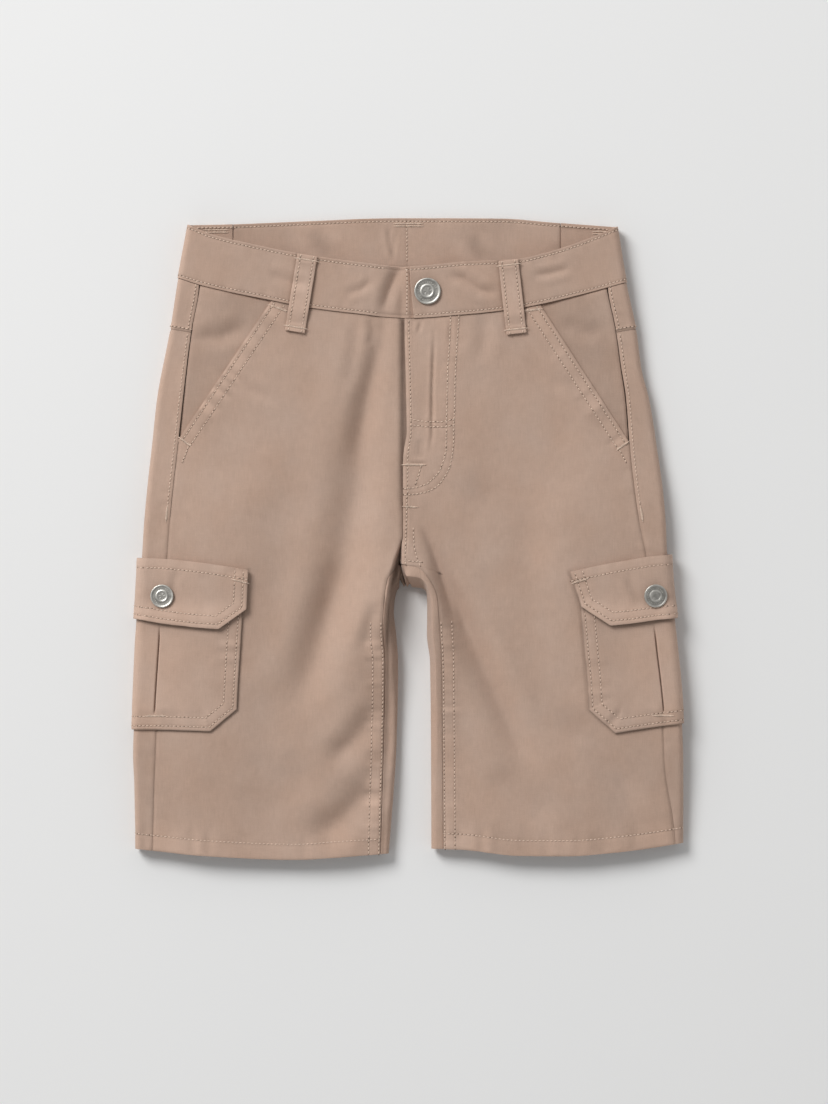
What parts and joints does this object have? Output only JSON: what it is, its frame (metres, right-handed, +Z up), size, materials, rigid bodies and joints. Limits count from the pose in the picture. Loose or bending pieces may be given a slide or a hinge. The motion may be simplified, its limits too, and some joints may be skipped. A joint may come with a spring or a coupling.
{
  "type": "cargo shorts",
  "caption": "Knee-length cotton cargo shorts laid flat, front up, with slant pockets, bellows pockets with buttoned flaps, belt loops and a waist button.",
  "frame": {"origin": "middle of the outline, on the surface that the shorts lie on", "axes": "+Z up off the surface, +Y from the hems to the waist, +X to the wearer's left"},
  "size_m": [0.3578, 0.4158, 0.0218],
  "materials": {
    "twill": "washed beige cotton twill, matt",
    "waistband": "the same twill, doubled and topstitched",
    "pockets": "the same twill, topstitched in two rows",
    "buttons": "pale antique nickel, satin"
  },
  "bodies": {
    "root": {"front_panel_right": "twill", "front_panel_left": "twill", "hip_facing_right": "twill", "hip_facing_left": "twill", "back_yoke_right": "twill", "back_yoke_left": "twill", "back_panel_right": "twill", "back_panel_left": "twill", "waistband_right": "waistband", "waistband_left": "waistband", "waistband_back": "waistband", "belt_loop_front_right": "waistband", "belt_loop_front_left": "waistband", "belt_loop_back_right": "waistband", "belt_loop_back_centre": "waistband", "belt_loop_back_left": "waistband", "cargo_pocket_right": "pockets", "cargo_pocket_left": "pockets", "cargo_flap_right": "pockets", "cargo_flap_left": "pockets", "waist_button": "buttons", "flap_button_right": "buttons", "flap_button_left": "buttons"}
  },
  "joints": []
}
